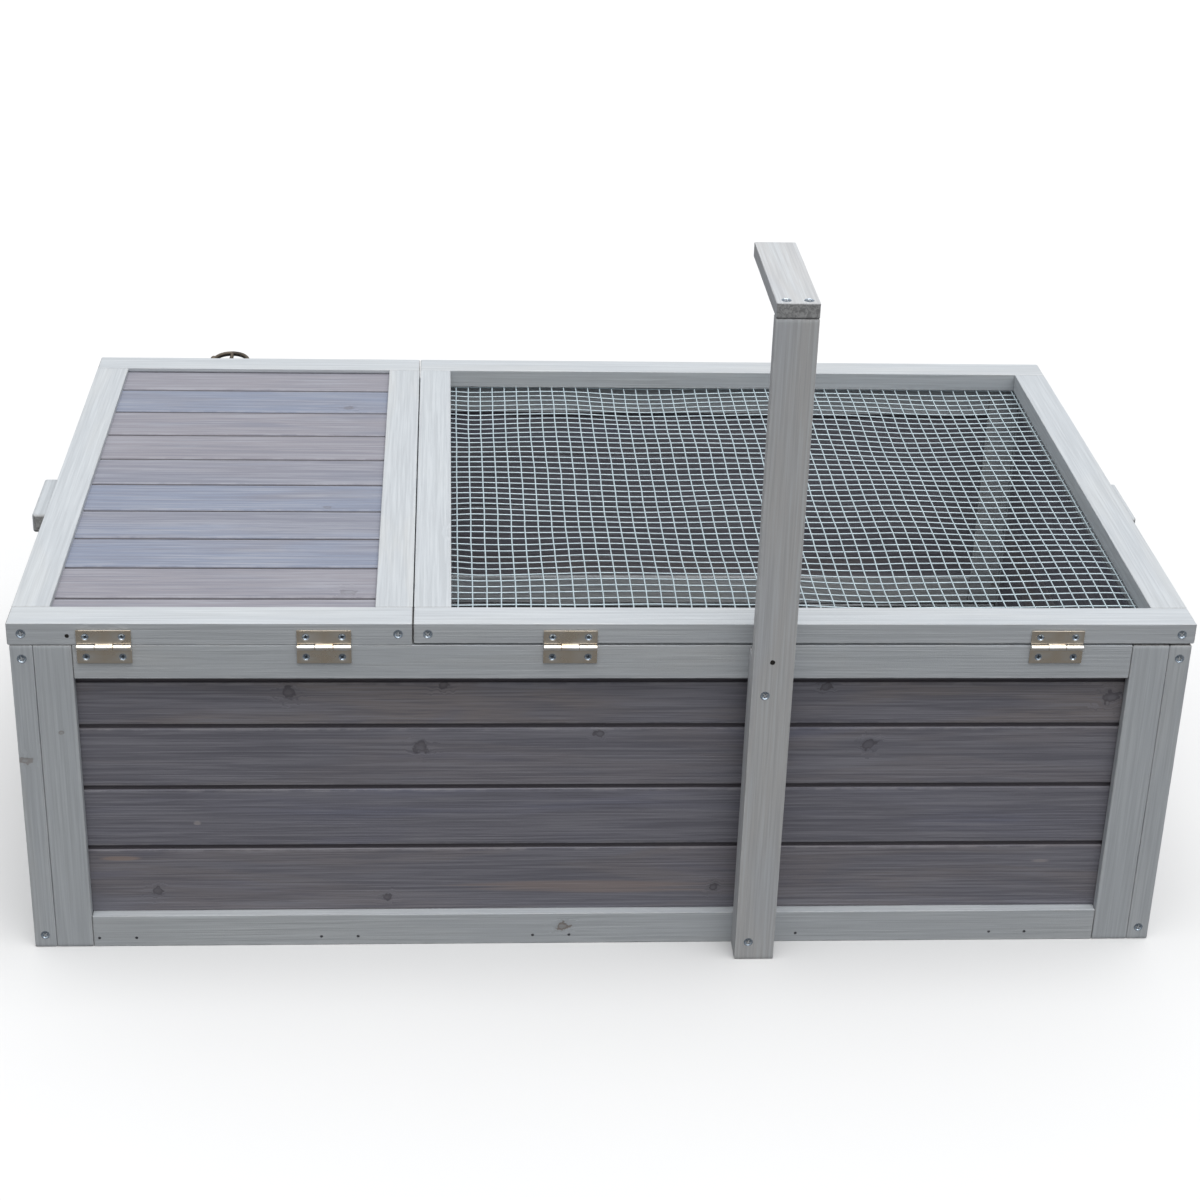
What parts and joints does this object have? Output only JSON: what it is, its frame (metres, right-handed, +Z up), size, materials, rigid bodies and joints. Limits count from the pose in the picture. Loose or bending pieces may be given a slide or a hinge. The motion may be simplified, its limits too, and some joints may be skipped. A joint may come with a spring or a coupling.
{
  "type": "rabbit hutch",
  "caption": "Low boarded pet box with a hinged boarded lid, a hinged wire-mesh lid, a pull-out floor tray and a lamp post with a short arm at the hinge side.",
  "frame": {"origin": "on the floor under the middle of the box, which is the bottom centre of the whole part", "axes": "+X along the length towards the mesh lid's end; +Y from the hinge side, where the lamp post stands, to the side the tray pulls out of; +Z up"},
  "size_m": [0.9916, 0.642, 0.5825],
  "materials": {
    "frame_wood": "grey-stained fir battens, matt",
    "wall_boards": "dark grey-stained tongue-and-groove boards, matt",
    "lid_boards": "grey-stained tongue-and-groove boards, matt",
    "post_wood": "warm grey-stained slats, matt",
    "hinge_nickel": "nickel-plated steel",
    "mesh_wire": "galvanised welded wire",
    "tray_plastic": "dark moulded plastic",
    "pull_bronze": "dark bronze-coated metal"
  },
  "bodies": {
    "box": {"bearer_1": "frame_wood", "bearer_2": "frame_wood", "bearer_3": "frame_wood", "bearer_4": "frame_wood", "bearer_5": "frame_wood", "hinge_mesh_a_pin": "hinge_nickel", "hinge_mesh_a_wall_leaf": "hinge_nickel", "hinge_mesh_b_pin": "hinge_nickel", "hinge_mesh_b_wall_leaf": "hinge_nickel", "hinge_solid_a_pin": "hinge_nickel", "hinge_solid_a_wall_leaf": "hinge_nickel", "hinge_solid_b_pin": "hinge_nickel", "hinge_solid_b_wall_leaf": "hinge_nickel", "hinge_wall_boards": "wall_boards", "hinge_wall_bottom_rail": "frame_wood", "hinge_wall_stile_a": "frame_wood", "hinge_wall_stile_b": "frame_wood", "hinge_wall_top_rail": "frame_wood", "lamp_arm": "post_wood", "lamp_post": "post_wood", "lamp_post_spacer": "post_wood", "left_handle": "frame_wood", "left_wall_boards": "wall_boards", "left_wall_bottom_rail": "frame_wood", "left_wall_stile_a": "frame_wood", "left_wall_stile_b": "frame_wood", "left_wall_top_rail": "frame_wood", "partition": "wall_boards", "right_handle": "frame_wood", "right_wall_boards": "wall_boards", "right_wall_bottom_rail": "frame_wood", "right_wall_stile_a": "frame_wood", "right_wall_stile_b": "frame_wood", "right_wall_top_rail": "frame_wood", "tray_sill": "frame_wood", "tray_wall_boards": "wall_boards", "tray_wall_bottom_rail": "frame_wood", "tray_wall_stile_a": "frame_wood", "tray_wall_stile_b": "frame_wood", "tray_wall_top_rail": "frame_wood"},
    "solid_lid": {"solid_lid_boards": "lid_boards", "solid_lid_far_rail": "frame_wood", "solid_lid_hinge_rail": "frame_wood", "solid_lid_left_rail": "frame_wood", "solid_lid_pull": "pull_bronze", "solid_lid_right_rail": "frame_wood", "hinge_solid_a_lid_leaf": "hinge_nickel", "hinge_solid_b_lid_leaf": "hinge_nickel"},
    "mesh_lid": {"mesh_lid_far_rail": "frame_wood", "mesh_lid_hinge_rail": "frame_wood", "mesh_lid_left_rail": "frame_wood", "mesh_lid_right_rail": "frame_wood", "mesh_lid_wires": "mesh_wire", "hinge_mesh_a_lid_leaf": "hinge_nickel", "hinge_mesh_b_lid_leaf": "hinge_nickel"},
    "tray": {"tray_pan": "tray_plastic", "tray_front": "frame_wood"}
  },
  "joints": [
    {"name": "solid_lid_hinge", "type": "hinge", "parent": "box", "child": "solid_lid", "pos_m": [-0.31325, -0.2976, 0.284], "axis": [1, 0, 0], "range_deg": [0, 175]},
    {"name": "mesh_lid_hinge", "type": "hinge", "parent": "box", "child": "mesh_lid", "pos_m": [0.16525, -0.2976, 0.284], "axis": [1, 0, 0], "range_deg": [0, 40]},
    {"name": "tray_slide", "type": "slide", "parent": "box", "child": "tray", "axis": [0, 1, 0], "range_m": [0, 0.45]}
  ]
}
